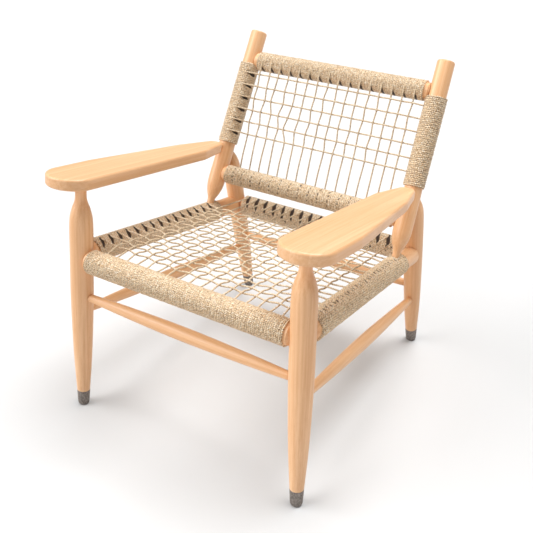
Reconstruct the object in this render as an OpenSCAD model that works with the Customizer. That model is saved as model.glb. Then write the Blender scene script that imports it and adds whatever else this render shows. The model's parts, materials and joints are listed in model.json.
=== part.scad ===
// Low lounge armchair: turned wooden frame, paddle arms, rails wrapped in paper cord,
// and an open cord weave in the seat and the back. The chair faces -Y and stands on z = 0.
// Depths are measured back from the line through the front feet, then the whole chair is
// moved so that its origin is the middle of its footprint.

/* [Overall] */
// Distance between the front feet, axis to axis on the floor
front_foot_w = 600; // [540:5:720]
// Distance between the rear feet, axis to axis on the floor
rear_foot_w = 530; // [480:5:640]
// Depth from the front feet to the rear feet on the floor
foot_depth = 674; // [650:1:760]
// Height of the top ends of the back posts
back_h = 746; // [700:1:900]

/* [Legs] */
// Largest radius of the front legs
front_leg_r = 25.7; // [22:0.1:30]
// Largest radius of the rear legs
rear_leg_r = 23.4; // [21:0.1:27]
// How far the front legs lean in towards each other, in degrees
front_leg_in = 2.6; // [0:0.1:5]
// How far the front legs lean back, in degrees
front_leg_back = 5.9; // [0:0.1:8]
// How far the rear legs lean forward, in degrees
rear_leg_fwd = 10.4; // [8:0.1:12]
// Length of the rear legs along their axes
rear_leg_len = 470; // [460:1:490]
// Radius of the leg neck under the arm
neck_r = 12.2; // [10:0.1:14]
// Length of the metal foot caps
cap_len = 41; // [30:1:55]
// Radius of a foot cap at its upper rim
cap_r = 15.4; // [14:0.1:17]
// Wall of the foot caps
cap_wall = 2; // [1:0.1:3]

/* [Seat frame] */
// Height of the front seat rail
front_rail_z = 390; // [370:1:420]
// Height of the side rails at the front legs
side_rail_front_z = 399; // [380:1:430]
// Height of the side rails and the rear rail at the rear legs
side_rail_rear_z = 294; // [280:1:330]
// Radius of the bare seat rails
seat_rail_r = 23.5; // [19:0.5:27]
// Radius of the round tenons on the rails
tenon_r = 10; // [7:0.5:11]
// How much of a rail stays bare beside a leg
bare_end = 6; // [4:1:20]

/* [Stretchers] */
// Height of the front stretcher
front_stretcher_z = 298; // [250:1:330]
// Height of the side stretchers at the front legs
side_stretcher_front_z = 256; // [200:1:270]
// Height of the side stretchers at the rear legs
side_stretcher_rear_z = 147; // [120:1:165]
// Height of the rear stretcher
rear_stretcher_z = 190; // [186:1:250]
// Radius of the stretchers in the middle
stretcher_r = 15.5; // [12:0.5:18]
// Radius of the stretcher ends
stretcher_end_r = 9; // [7:0.5:10]

/* [Back] */
// Depth at which the post axes cross the side rails
post_foot_y = 485; // [470:1:500]
// Lean of the back, in degrees from upright
back_lean = 29.4; // [26:0.1:33]
// How far each post's upper end stands in from its foot
post_in = 13; // [0:1:30]
// Radius of the back posts
post_r = 21.2; // [17:0.1:26]
// Radius of the narrow foot of the posts
post_neck_r = 8.8; // [8:0.1:11]
// Place of the lower back rail, along the post
low_rail_t = 113.5; // [105:0.5:125]
// Place of the top rail, measured down from the post's end
top_rail_drop = 74; // [60:1:100]
// Radius of the bare back rails
back_rail_r = 19.5; // [16:0.5:23]
// Radius of the tenons on the back rails
back_tenon_r = 8; // [6:0.5:10]

/* [Arms] */
// Height of the arm's upper face over the line of the front feet
arm_z = 599; // [580:1:620]
// Fall of the arms to the rear, in degrees
arm_tilt = 10.2; // [7:0.1:12]
// Thickness of the arms
arm_t = 26; // [22:1:32]
// Width of the arms at the front
arm_w = 112; // [95:1:130]
// how far the arm's inner edge lies inside the front leg's axis
arm_inside = 43.8; // [34:0.1:56]
// How far the arms reach in front of the feet
arm_over = 5; // [0:1:40]
// Radius of the rear end of the arms
arm_rear_r = 21; // [17:1:24]
// Rounding of the arms' edges
arm_edge_r = 6; // [3:0.5:10]
// Radius of the dowel between arm and post
arm_dowel_r = 8; // [6:0.5:10]

/* [Cord] */
// Diameter of the paper cord
cord_d = 4.5; // [3:0.5:5.5]
// Number of seat cords running front to back
warp_count = 17; // [9:2:19]
// Distance between those cords
warp_pitch = 28; // [24:0.5:29]
// Number of seat cords running side to side
weft_count = 15; // [7:1:15]
// Distance between those cords
weft_pitch = 27.6; // [22:0.1:28]
// Number of upright cords in the back
upright_count = 16; // [8:2:16]
// Distance between the upright cords
upright_pitch = 28; // [22:0.5:29]
// Number of level cords in the back
level_count = 6; // [2:1:6]
// Distance between the level cords
level_pitch = 30.8; // [20:0.1:31]

/* [Hidden] */
$fn = 64;

wood = "burlywood";
cord_colour = "tan";
metal = "slategray";

left = -1;
right = 1;
cord_r = cord_d / 2;
glue_gap = 0.1;
slot_gap = 0.5;
wave = cord_r + 0.15;      // how far a cord swings either side of the weave's middle
rail_mitre = 1.6;          // the rails' ends taper, so that two of them can meet at one leg
tenon_depth = 14;          // how far a tenon reaches into a leg or post
spigot_start = 8;          // height at which a leg's spigot begins inside its cap
post_dowel_r = 4;
arm_dowel_depth = 24;      // how far the arm's dowel reaches into the arm
tack_r = 0.9;
tack_head_r = 1.8;
tack_len = 11;
post_swell = 1.06;         // the posts are this much thicker beside the lower rail

// ---- helpers
function mix(a, b, t) = a + (b - a) * t;
function unit(v) = v / norm(v);
function bend(p0, p1, p2, p3, t) =
    0.5 * (2 * p1 + (p2 - p0) * t + (2 * p0 - 5 * p1 + 4 * p2 - p3) * t * t
           + (3 * p1 - p0 - 3 * p2 + p3) * t * t * t);
function smooth(p, n) = concat(
    [for (i = [0 : len(p) - 2]) for (k = [0 : n - 1])
        bend(p[max(i - 1, 0)], p[i], p[i + 1], p[min(i + 2, len(p) - 1)], k / n)],
    [p[len(p) - 1]]);

// stands its children, drawn along +Z, on point a and turns them towards b
module between(a, b) {
    d = b - a;
    translate(a) rotate([0, acos(d.z / norm(d)), atan2(d.y, d.x)]) children();
}

module rod(a, b, r) between(a, b) cylinder(h = norm(b - a), r = r);

// a turned piece: p lists [height, radius] from end to end
module turned(p) rotate_extrude() polygon(concat([[0, p[0].x]], [for (q = p) [q.y, q.x]],
                                                 [[0, p[len(p) - 1].x]]));

// ---- places
function front_axis(s, z) =
    [s * (front_foot_w / 2 - z * tan(front_leg_in)), z * tan(front_leg_back), z];
function rear_axis(s, z) = [s * rear_foot_w / 2, foot_depth - z * tan(rear_leg_fwd), z];

rail_front = front_axis(right, side_rail_front_z);
rail_rear = rear_axis(right, side_rail_rear_z);
function rail_share(y) = (y - rail_front.y) / (rail_rear.y - rail_front.y);
function side_axis(s, y) = [s * mix(rail_front.x, rail_rear.x, rail_share(y)), y,
                            mix(rail_front.z, rail_rear.z, rail_share(y))];
seat_back_dir = unit([0, rail_rear.y - rail_front.y, rail_rear.z - rail_front.z]);
seat_up = [0, -seat_back_dir.z, seat_back_dir.y];

post_foot = side_axis(right, post_foot_y);
post_up = [0, sin(back_lean), cos(back_lean)];
post_front = [0, -cos(back_lean), sin(back_lean)];
post_len = (back_h - post_foot.z) / cos(back_lean);
top_rail_t = post_len - top_rail_drop;
function post_axis(s, t) = [s * (post_foot.x - post_in * t / post_len), post_foot.y, post_foot.z]
                           + t * post_up;

wrap_t0 = low_rail_t + back_rail_r + 61;    // lower end of the post's cord wrap
wrap_t1 = top_rail_t - 12;                  // upper end of it
rear_leg_top = rear_axis(right, rear_leg_len * cos(rear_leg_fwd));
bolt_z = rear_leg_top.z - 32;
bolt_t = (bolt_z - post_foot.z) / cos(back_lean);

// the arm's middle line runs back to the post's front face, and stops short of it by arm_post_gap
arm_post_gap = 11.16;
arm_meet = ((arm_z - arm_t / 2 * cos(arm_tilt) - post_foot.z) * tan(back_lean) + post_foot.y
            + arm_t / 2 * sin(arm_tilt)) / (cos(arm_tilt) + sin(arm_tilt) * tan(back_lean));
arm_inner_x = front_axis(right, arm_z).x - arm_inside;
arm_len = arm_meet - post_r * post_swell / cos(back_lean - arm_tilt) - arm_post_gap;
arm_dowel_drop = arm_t / 2;
arm_dowel_t = (arm_z - arm_len * sin(arm_tilt) - arm_dowel_drop - post_foot.z - 4) / cos(back_lean);

// the footprint's middle: half way between the foremost point and the back of the post tops
arm_tip_y = -arm_over * cos(arm_tilt) - (arm_t - arm_edge_r) * sin(arm_tilt)
            - arm_edge_r * (1 - cos(arm_tilt));
cap_front_y = 8 * tan(front_leg_back) - cap_r * 0.88 / cos(front_leg_back);
post_back_y = post_axis(right, post_len).y + (post_r - 0.5) * cos(back_lean) - 1.6;
mid_y = (min(arm_tip_y, cap_front_y) + post_back_y) / 2;
module chair() translate([0, -mid_y, 0]) children();

// ---- legs
front_leg_len = (arm_z - rail_front.y * tan(arm_tilt) - 2) / cos(front_leg_back) - arm_t;
spigot_r = cap_r * 0.9 - cap_wall;
spigot = [[spigot_start, spigot_r - 1], [spigot_start + 2, spigot_r], [cap_len, spigot_r]];
front_leg_shape = concat(spigot, smooth([
    [cap_len + 0.2, cap_r], [150, front_leg_r * 0.835], [285, front_leg_r * 0.985],
    [400, front_leg_r], [front_leg_len - 88, front_leg_r * 0.985],
    [front_leg_len - 58, front_leg_r * 0.8], [front_leg_len - 36, neck_r * 1.1],
    [front_leg_len - 15, neck_r], [front_leg_len + 3, neck_r]], 5),
    [[front_leg_len + 3, neck_r - 2], [front_leg_len + 16, neck_r - 2]]);
rear_leg_shape = concat(spigot, smooth([
    [cap_len + 0.2, cap_r], [125, rear_leg_r * 0.85], [225, rear_leg_r * 0.955],
    [330, rear_leg_r], [rear_leg_len - 60, rear_leg_r * 0.985],
    [rear_leg_len - 32, rear_leg_r * 0.86], [rear_leg_len - 12, rear_leg_r * 0.55],
    [rear_leg_len - 3, rear_leg_r * 0.25]], 5), [[rear_leg_len, 2]]);

// a bore for a tenon, from the axis of a leg or post towards the piece that enters it
module socket(from, to, wall_r, r) {
    d = unit(to - from);
    rod(from + d * (wall_r - tenon_depth - 0.4), from + d * (wall_r + 14), r + glue_gap);
}

module front_leg(s) color(wood) chair() difference() {
    between(front_axis(s, 0), front_axis(s, 500)) turned(front_leg_shape);
    socket(front_axis(s, front_rail_z), front_axis(-s, front_rail_z), front_leg_r, tenon_r);
    socket(side_axis(s, rail_front.y), side_axis(s, post_foot_y), front_leg_r, tenon_r);
    socket(front_axis(s, front_stretcher_z), front_axis(-s, front_stretcher_z),
           front_leg_r, stretcher_end_r);
    socket(front_axis(s, side_stretcher_front_z), rear_axis(s, side_stretcher_rear_z),
           front_leg_r, stretcher_end_r);
}

module rear_leg(s) color(wood) chair() difference() {
    between(rear_axis(s, 0), rear_axis(s, 500)) turned(rear_leg_shape);
    socket(rear_axis(s, side_rail_rear_z), rear_axis(-s, side_rail_rear_z), rear_leg_r, tenon_r);
    socket(side_axis(s, rail_rear.y), side_axis(s, post_foot_y), rear_leg_r, tenon_r);
    socket(rear_axis(s, rear_stretcher_z), rear_axis(-s, rear_stretcher_z),
           rear_leg_r, stretcher_end_r);
    socket(rear_axis(s, side_stretcher_rear_z), front_axis(s, side_stretcher_front_z),
           rear_leg_r, stretcher_end_r);
    rod(post_axis(s, low_rail_t - 40), post_axis(s, wrap_t1), post_r * post_swell + glue_gap);
    post_dowel_rod(s, post_dowel_r + glue_gap);
}

module foot_cap(low, high) color(metal) chair() difference() {
    between(low, high) rotate([0, 0, 90]) turned(smooth([[-3.4, cap_r * 0.3], [-1.3, cap_r * 0.6],
        [2.2, cap_r * 0.78], [8, cap_r * 0.88], [cap_len, cap_r]], 3));
    between(low, high) translate([0, 0, spigot_start - glue_gap])
        cylinder(h = cap_len, r = spigot_r + glue_gap);
    translate([low.x - 2 * cap_r, low.y - 2 * cap_r, -20]) cube([4 * cap_r, 4 * cap_r, 20]);
}

// ---- seat rails
// a rail between two axes, coped against both and carrying a round tenon at each end
module rail(a, b, r, wall_a, wall_b, tenon, cut_a, cut_b) {
    d = unit(b - a);
    len = norm(b - a);
    difference() {
        between(a, b) turned([[tenon + rail_mitre, tenon], [r + rail_mitre, r],
                              [len - r - rail_mitre, r], [len - tenon - rail_mitre, tenon]]);
        rod(cut_a[0], cut_a[1], wall_a + glue_gap);
        rod(cut_b[0], cut_b[1], wall_b + glue_gap);
    }
    rod(a + d * (wall_a - tenon_depth), a + d * (wall_a + 8), tenon);
    rod(b - d * (wall_b - tenon_depth), b - d * (wall_b + 8), tenon);
}
function leg_cut(s) = [front_axis(s, 200), front_axis(s, 500)];
function rear_cut(s) = [rear_axis(s, 150), rear_axis(s, 440)];
function post_cut(s, t) = [post_axis(s, t - 60), post_axis(s, t + 60)];

// tacks beside the ends of the wraps, and the bores they sit in
module tack_bore(a, b, gap, r, down) {
    p = a + unit(b - a) * gap;
    rod(p + down * (r - tack_len), p + down * (r + 4), tack_r);
}
module tack(a, b, gap, r, down) {
    p = a + unit(b - a) * gap;
    rod(p + down * (r - tack_len + 0.5), p + down * (r + 0.4), tack_r);
    rod(p + down * (r + 0.05), p + down * (r + 0.9), tack_head_r);
}
front_gap = front_leg_r + bare_end - tack_head_r - 0.3;
rear_gap = rear_leg_r + bare_end - tack_head_r - 0.3;
post_gap = post_r + 5;
back_wrap_gap = post_r + 9;
side_gap = norm(side_axis(right, post_foot_y) - side_axis(right, rail_front.y)) + 40;

module front_seat_rail() color(wood) chair() difference() {
    rail(front_axis(left, front_rail_z), front_axis(right, front_rail_z), seat_rail_r,
         front_leg_r, front_leg_r, tenon_r, leg_cut(left), leg_cut(right));
    for (s = [left, right])
        tack_bore(front_axis(s, front_rail_z), front_axis(-s, front_rail_z), front_gap,
                  seat_rail_r, -seat_up);
}

module rear_seat_rail() color(wood) chair() difference() {
    rail(rear_axis(left, side_rail_rear_z), rear_axis(right, side_rail_rear_z), seat_rail_r,
         rear_leg_r, rear_leg_r, tenon_r, rear_cut(left), rear_cut(right));
    for (s = [left, right])
        tack_bore(rear_axis(s, side_rail_rear_z), rear_axis(-s, side_rail_rear_z), rear_gap,
                  seat_rail_r, -seat_up);
}

module side_seat_rail(s) color(wood) chair() difference() {
    rail(side_axis(s, rail_front.y), side_axis(s, rail_rear.y), seat_rail_r,
         front_leg_r, rear_leg_r, tenon_r, leg_cut(s), rear_cut(s));
    rod(post_axis(s, -3), post_axis(s, 60), post_neck_r + glue_gap);
    for (g = [front_gap, side_gap])
        tack_bore(side_axis(s, rail_front.y), side_axis(s, rail_rear.y), g, seat_rail_r, -seat_up);
}

// ---- stretchers: cigar shaped, their slim ends are the tenons
module stretcher(a, b, wall_a, wall_b) color(wood) chair() {
    len = norm(b - a);
    e0 = wall_a - tenon_depth;
    e1 = len - wall_b + tenon_depth;
    between(a, b) turned(concat([[e0, stretcher_end_r]], smooth([
        [wall_a + 4, stretcher_end_r], [wall_a + 12, stretcher_end_r + 0.5],
        [mix(wall_a, len - wall_b, 0.22), mix(stretcher_end_r, stretcher_r, 0.62)],
        [len / 2, stretcher_r],
        [mix(wall_a, len - wall_b, 0.78), mix(stretcher_end_r, stretcher_r, 0.62)],
        [len - wall_b - 12, stretcher_end_r + 0.5], [len - wall_b - 4, stretcher_end_r]], 5),
        [[e1, stretcher_end_r]]));
}

// ---- back
post_shape = concat([[-2, post_neck_r], [seat_rail_r + 8, post_neck_r]], smooth([
    [seat_rail_r + 8.5, post_neck_r], [seat_rail_r + 17, post_neck_r * 1.12],
    [seat_rail_r + 34, post_r * 0.78], [seat_rail_r + 54, post_r * 1.01],
    [seat_rail_r + 78, post_r * post_swell], [wrap_t0 - 30, post_r * 1.03], [wrap_t0, post_r]], 5),
    [[post_len - 4, post_r - 0.5], [post_len - 1.2, post_r - 1.6], [post_len, post_r - 4]]);

module back_post(s) color(wood) chair() difference() {
    between(post_axis(s, 0), post_axis(s, post_len)) turned(post_shape);
    for (t = [low_rail_t, top_rail_t])
        socket(post_axis(s, t), post_axis(-s, t), post_r, back_tenon_r);
    arm_dowel_rod(s, arm_dowel_r + glue_gap, 0.3);
    post_dowel_rod(s, post_dowel_r + glue_gap);
}

module back_rail(t) color(wood) chair() difference() {
    wall = post_r * post_swell;
    rail(post_axis(left, t), post_axis(right, t), back_rail_r, wall, wall, back_tenon_r,
         post_cut(left, t), post_cut(right, t));
    for (s = [left, right])
        tack_bore(post_axis(s, t), post_axis(-s, t), post_gap, back_rail_r, -post_front);
}

// dowel from the rear leg's upper end into the post
module post_dowel_rod(s, r) {
    p = post_axis(s, bolt_t);
    rod(p + post_front * 6, p - post_front * (post_r + 20), r);
}
module post_dowel(s) color(wood) chair() post_dowel_rod(s, post_dowel_r);

// ---- arms
module arm_frame(s) translate([0, 0, arm_z]) rotate([-arm_tilt, 0, 0])
    mirror([s < 0 ? 1 : 0, 0, 0]) children();
// half the outline of a flat disc with rounded edges: radius out, height over its underside
function edge_point(r, a, z) = [r - arm_edge_r * (1 - sin(a)), z - arm_edge_r * cos(a)];
module arm_disc(x, y, r) translate([x, y, -arm_t]) rotate_extrude($fn = 40) polygon(concat(
    [[0, 0]], [for (a = [0 : 22.5 : 90]) edge_point(r, a, arm_edge_r)],
    [for (a = [90 : 22.5 : 180]) edge_point(r, a, arm_t - arm_edge_r)], [[0, arm_t]]));
module arm_board() hull() {
    arm_disc(arm_inner_x + arm_w / 2, arm_w / 2 - arm_over, arm_w / 2);
    arm_disc(arm_inner_x + arm_w - 46, 150, 46);
    arm_disc(arm_inner_x + arm_w - 64, 436, 34);
    arm_disc(arm_inner_x + 32, 445, 32);
    arm_disc(post_foot.x - 1, arm_len - arm_rear_r, arm_rear_r);
}

module armrest(s) color(wood) chair() difference() {
    arm_frame(s) arm_board();
    between(front_axis(s, 0), front_axis(s, 500)) {
        cylinder(h = front_leg_len + 3.2, r = neck_r + glue_gap);
        cylinder(h = front_leg_len + 16.3, r = neck_r - 2 + glue_gap);
    }
    arm_dowel_rod(s, arm_dowel_r + glue_gap, 0.3);
}

// dowel between the arm's rear end and the post
function arm_point(s, y, z) = [s * (post_foot.x - 1), y * cos(arm_tilt) + z * sin(arm_tilt),
                              arm_z - y * sin(arm_tilt) + z * cos(arm_tilt)];
arm_dir = [0, cos(arm_tilt), -sin(arm_tilt)];
module arm_dowel_rod(s, r, extra = 0) {
    a = arm_point(s, arm_len - arm_dowel_depth - extra, -arm_dowel_drop);
    rod(a, a + arm_dir * (arm_dowel_depth + 28 + 2 * extra), r);
}
module arm_dowel(s) color(wood) chair() arm_dowel_rod(s, arm_dowel_r);

// ---- cord wraps: a sleeve one cord thick, parted where a cord of the weave leaves it
module sleeve(a, b, gap_a, gap_b, r) {
    d = unit(b - a);
    difference() {
        rod(a + d * gap_a, b - d * gap_b, r + cord_d);
        rod(a, b, r + glue_gap / 2);
    }
}

// ---- the weave
weft_y0 = 92;
function warp_x(i) = (i - (warp_count - 1) / 2) * warp_pitch;
function weft_y(j) = weft_y0 + j * weft_pitch;
rear_lift = seat_rail_r + cord_r;
entry_r = seat_rail_r + cord_d * 0.8;
front_entry = 42;         // degrees behind the top of the front rail
right_entry = 45;         // degrees inside the top of the right rail
front_drop = rail_front.z - front_rail_z;
front_lift = entry_r * cos(front_entry) - front_drop;
side_lift = entry_r * cos(right_entry);
function seat_base(y) = mix(front_lift, rear_lift, rail_share(y));
function seat_share(x, y) = (x + side_axis(right, y).x) / (2 * side_axis(right, y).x);
function seat_h(x, y) = let (u = seat_share(x, y), base = seat_base(y))
    base + (rear_lift - base) * pow(1 - u, 3) + (side_lift - base) * pow(u, 3);
function seat_point(x, y, h) = [x, y, side_axis(right, y).z] + seat_up * h;
function over(i, j) = (i + j) % 2 == 0 ? wave : -wave;
function crossing(i, j, h) = seat_point(warp_x(i), weft_y(j), seat_h(warp_x(i), weft_y(j)) + h);

function warp_start(i) = [warp_x(i), rail_rear.y, rail_rear.z] + seat_up * rear_lift;
function warp_end(i) = let (c = front_axis(right, front_rail_z)) [warp_x(i), c.y, c.z]
    + entry_r * (cos(front_entry) * seat_up + sin(front_entry) * seat_back_dir);
function warp_path(i) = concat([warp_start(i), warp_start(i) - seat_back_dir * 18],
    [for (j = [weft_count - 1 : -1 : 0]) crossing(i, j, over(i, j))], [warp_end(i)]);

function weft_start(j) = side_axis(left, weft_y(j)) + seat_up * rear_lift;
function weft_end(j) = side_axis(right, weft_y(j))
    + entry_r * (cos(right_entry) * seat_up + sin(right_entry) * [-1, 0, 0]);
function weft_path(j) = concat([weft_start(j), weft_start(j) + [18, 0, 0]],
    [for (i = [0 : warp_count - 1]) crossing(i, j, -over(i, j))], [weft_end(j)]);

function upright_x(i) = (i - (upright_count - 1) / 2) * upright_pitch;
level_t1 = top_rail_t - 37;
function level_t(j) = level_t1 - j * level_pitch;
top_lift = back_rail_r + cord_r;
low_entry = 20;           // degrees behind the top of the lower rail
low_r = back_rail_r + cord_d * 0.8;
low_h = -low_r * sin(low_entry);
function web_h(t) = mix(low_h, top_lift, (t - low_rail_t) / (top_rail_t - low_rail_t));
function web_point(x, t, h) = [x, post_foot.y, post_foot.z] + post_up * t + post_front * h;
function web_crossing(i, j, h) = web_point(upright_x(i), level_t(j), web_h(level_t(j)) + h);
function upright_path(i) = let (x = upright_x(i)) concat(
    [web_point(x, top_rail_t, top_lift), web_point(x, top_rail_t - 18, top_lift)],
    [for (j = [0 : level_count - 1]) web_crossing(i, j, over(i, j))],
    [web_point(x, low_rail_t + 60, web_h(low_rail_t + 60)),
     web_point(x, low_rail_t + low_r * cos(low_entry), low_h)]);
function level_start(j) = post_axis(left, level_t(j)) + post_front * (post_r + cord_r + 0.1);
level_r = post_r + cord_d * 0.8;
function level_end(j) = let (h = web_h(level_t(j)) * 0.6) post_axis(right, level_t(j))
    + post_front * h + [-sqrt(level_r * level_r - h * h), 0, 0];
function level_path(j) = concat([level_start(j), level_start(j) + [17, 0, 0]],
    [for (i = [0 : upright_count - 1]) web_crossing(i, j, -over(i, j))], [level_end(j)]);

// a cord swept along its points with six sides; side is a level direction across it
module cord(p, side) {
    n = 6;
    rings = [for (i = [0 : len(p) - 1]) let (
        t = unit(p[min(i + 1, len(p) - 1)] - p[max(i - 1, 0)]),
        up = unit(cross(t, side)), across = cross(up, t))
        for (k = [0 : n - 1]) p[i] + cord_r * (cos(k * 360 / n) * across + sin(k * 360 / n) * up)];
    last = (len(p) - 1) * n;
    polyhedron(points = rings, faces = concat(
        [[for (k = [0 : n - 1]) k]],
        [for (i = [0 : n : last - 1]) for (k = [0 : n - 1]) let (a = i + k, b = i + (k + 1) % n)
            [a, a + n, b]],
        [for (i = [0 : n : last - 1]) for (k = [0 : n - 1]) let (a = i + k, b = i + (k + 1) % n)
            [a + n, b + n, b]],
        [[for (k = [n - 1 : -1 : 0]) last + k]]));
}

// cutter that lets the first or last stretch of a cord through a sleeve
module cord_way(a, b) {
    d = unit(b - a);
    rod(a - d * 0.3, a + d * min(norm(b - a), 22), cord_r + slot_gap);
}

module front_rail_wrap() color(cord_colour) chair() difference() {
    sleeve(front_axis(left, front_rail_z), front_axis(right, front_rail_z),
           front_leg_r + bare_end, front_leg_r + bare_end, seat_rail_r);
    for (i = [0 : warp_count - 1]) cord_way(warp_end(i), warp_path(i)[weft_count + 1]);
}
module rear_rail_wrap() color(cord_colour) chair() difference() {
    sleeve(rear_axis(left, side_rail_rear_z), rear_axis(right, side_rail_rear_z),
           rear_leg_r + bare_end, rear_leg_r + bare_end, seat_rail_r);
    for (i = [0 : warp_count - 1]) cord_way(warp_start(i), warp_path(i)[1]);
}
module side_rail_wrap(s) color(cord_colour) chair() difference() {
    sleeve(side_axis(s, rail_front.y), side_axis(s, rail_rear.y), front_leg_r + bare_end,
           norm(rail_rear - rail_front) - side_gap + 8, seat_rail_r);
    rod(post_axis(s, 0), post_axis(s, 70), post_neck_r + 0.8);
    for (j = [0 : weft_count - 1])
        if (s == left) cord_way(weft_start(j), weft_path(j)[1]);
        else cord_way(weft_end(j), weft_path(j)[warp_count + 1]);
}
module top_rail_wrap() color(cord_colour) chair() difference() {
    sleeve(post_axis(left, top_rail_t), post_axis(right, top_rail_t),
           back_wrap_gap, back_wrap_gap, back_rail_r);
    for (i = [0 : upright_count - 1]) cord_way(upright_path(i)[0], upright_path(i)[1]);
}
module lower_rail_wrap() color(cord_colour) chair() difference() {
    sleeve(post_axis(left, low_rail_t), post_axis(right, low_rail_t),
           back_wrap_gap, back_wrap_gap, back_rail_r);
    for (i = [0 : upright_count - 1])
        cord_way(upright_path(i)[level_count + 3], upright_path(i)[level_count + 2]);
}
module post_wrap(s) color(cord_colour) chair() difference() {
    rod(post_axis(s, wrap_t0), post_axis(s, wrap_t1), post_r + cord_d);
    rod(post_axis(s, wrap_t0 - 1), post_axis(s, wrap_t1 + 1), post_r + glue_gap);
    for (j = [0 : level_count - 1])
        if (s == left) cord_way(level_start(j), level_path(j)[1]);
        else cord_way(level_end(j), level_path(j)[upright_count + 1]);
}

module seat_warp_cords() color(cord_colour) chair()
    for (i = [0 : warp_count - 1]) cord(warp_path(i), [1, 0, 0]);
module seat_weft_cords() color(cord_colour) chair()
    for (j = [0 : weft_count - 1]) cord(weft_path(j), seat_back_dir);
module back_upright_cords() color(cord_colour) chair()
    for (i = [0 : upright_count - 1]) cord(upright_path(i), [1, 0, 0]);
module back_level_cords() color(cord_colour) chair()
    for (j = [0 : level_count - 1]) cord(level_path(j), post_up);

// ---- tacks that hold the ends of the cords
module seat_cord_tacks() color(metal) chair() for (s = [left, right]) {
    tack(front_axis(s, front_rail_z), front_axis(-s, front_rail_z), front_gap, seat_rail_r, -seat_up);
    tack(rear_axis(s, side_rail_rear_z), rear_axis(-s, side_rail_rear_z), rear_gap, seat_rail_r, -seat_up);
    for (g = [front_gap, side_gap])
        tack(side_axis(s, rail_front.y), side_axis(s, rail_rear.y), g, seat_rail_r, -seat_up);
}
module back_cord_tacks() color(metal) chair()
    for (s = [left, right]) for (t = [low_rail_t, top_rail_t])
        tack(post_axis(s, t), post_axis(-s, t), post_gap, back_rail_r, -post_front);

front_leg(left);  // front_leg_left
front_leg(right);  // front_leg_right
rear_leg(left);  // rear_leg_left
rear_leg(right);  // rear_leg_right
foot_cap(front_axis(left, 0), front_axis(left, 500));  // front_foot_cap_left
foot_cap(front_axis(right, 0), front_axis(right, 500));  // front_foot_cap_right
foot_cap(rear_axis(left, 0), rear_axis(left, 500));  // rear_foot_cap_left
foot_cap(rear_axis(right, 0), rear_axis(right, 500));  // rear_foot_cap_right
front_seat_rail();
rear_seat_rail();
side_seat_rail(left);  // side_seat_rail_left
side_seat_rail(right);  // side_seat_rail_right
stretcher(front_axis(left, front_stretcher_z),  // front_stretcher
    front_axis(right, front_stretcher_z), front_leg_r, front_leg_r);
stretcher(rear_axis(left, rear_stretcher_z),  // rear_stretcher
    rear_axis(right, rear_stretcher_z), rear_leg_r, rear_leg_r);
stretcher(front_axis(left, side_stretcher_front_z),  // side_stretcher_left
    rear_axis(left, side_stretcher_rear_z), front_leg_r, rear_leg_r);
stretcher(front_axis(right, side_stretcher_front_z),  // side_stretcher_right
    rear_axis(right, side_stretcher_rear_z), front_leg_r, rear_leg_r);
back_post(left);  // back_post_left
back_post(right);  // back_post_right
back_rail(top_rail_t);  // top_back_rail
back_rail(low_rail_t);  // lower_back_rail
armrest(left);  // armrest_left
armrest(right);  // armrest_right
arm_dowel(left);  // arm_dowel_left
arm_dowel(right);  // arm_dowel_right
post_dowel(left);  // post_dowel_left
post_dowel(right);  // post_dowel_right
front_rail_wrap();
rear_rail_wrap();
side_rail_wrap(left);  // side_rail_wrap_left
side_rail_wrap(right);  // side_rail_wrap_right
top_rail_wrap();
lower_rail_wrap();
post_wrap(left);  // post_wrap_left
post_wrap(right);  // post_wrap_right
seat_warp_cords();
seat_weft_cords();
back_upright_cords();
back_level_cords();
seat_cord_tacks();
back_cord_tacks();
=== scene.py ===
import bpy
import bmesh
import json
import math
import random
import numpy as np
from mathutils import Matrix, Vector


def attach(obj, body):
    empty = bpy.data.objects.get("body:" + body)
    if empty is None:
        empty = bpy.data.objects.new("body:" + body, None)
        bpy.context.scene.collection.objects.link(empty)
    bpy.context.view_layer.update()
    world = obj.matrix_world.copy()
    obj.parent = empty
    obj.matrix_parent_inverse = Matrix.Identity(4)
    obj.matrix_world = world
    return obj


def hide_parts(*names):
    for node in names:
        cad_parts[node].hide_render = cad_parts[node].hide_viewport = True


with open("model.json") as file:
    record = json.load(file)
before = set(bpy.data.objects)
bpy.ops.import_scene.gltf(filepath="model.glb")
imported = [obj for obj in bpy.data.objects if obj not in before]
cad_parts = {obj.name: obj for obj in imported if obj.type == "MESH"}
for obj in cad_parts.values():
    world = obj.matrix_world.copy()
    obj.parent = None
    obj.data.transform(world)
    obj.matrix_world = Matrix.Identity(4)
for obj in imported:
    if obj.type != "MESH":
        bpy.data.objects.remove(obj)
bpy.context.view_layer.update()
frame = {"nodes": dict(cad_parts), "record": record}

feet = {m["name"]: Vector(m["pos_m"]) for m in frame["record"]["mounts"]}

# the chair's own lines: where each axis runs, in metres and radians
chair = {
    "frontLegIn": math.radians(2.6),
    "frontLegBack": math.radians(5.9),
    "rearLegForward": math.radians(10.4),
    "frontRailZ": 0.390,
    "sideRailFrontZ": 0.399,
    "sideRailRearZ": 0.294,
    "postFoot": 0.485,          # behind the front feet
    "postTopZ": 0.746,
    "postLean": math.radians(29.4),
    "postIn": 0.013,
    "lowRailAt": 0.1135,        # along the post
    "topRailDrop": 0.074,
    "seatRailR": 0.0235,
    "backRailR": 0.0195,
    "postR": 0.0212,
    "frontLegR": 0.0257,
    "rearLegR": 0.0234,
    "bareEnd": 0.006,           # of wood between a leg and the wrap beside it
    "bareBackEnd": 0.009,
    "cordR": 0.00225,
}
frontFoot, rearFoot = feet["front_right_foot"], feet["rear_right_foot"]


def frontAxis(s, z):
    return Vector((s * (frontFoot.x - z * math.tan(chair["frontLegIn"])),
                   frontFoot.y + z * math.tan(chair["frontLegBack"]), z))


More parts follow.
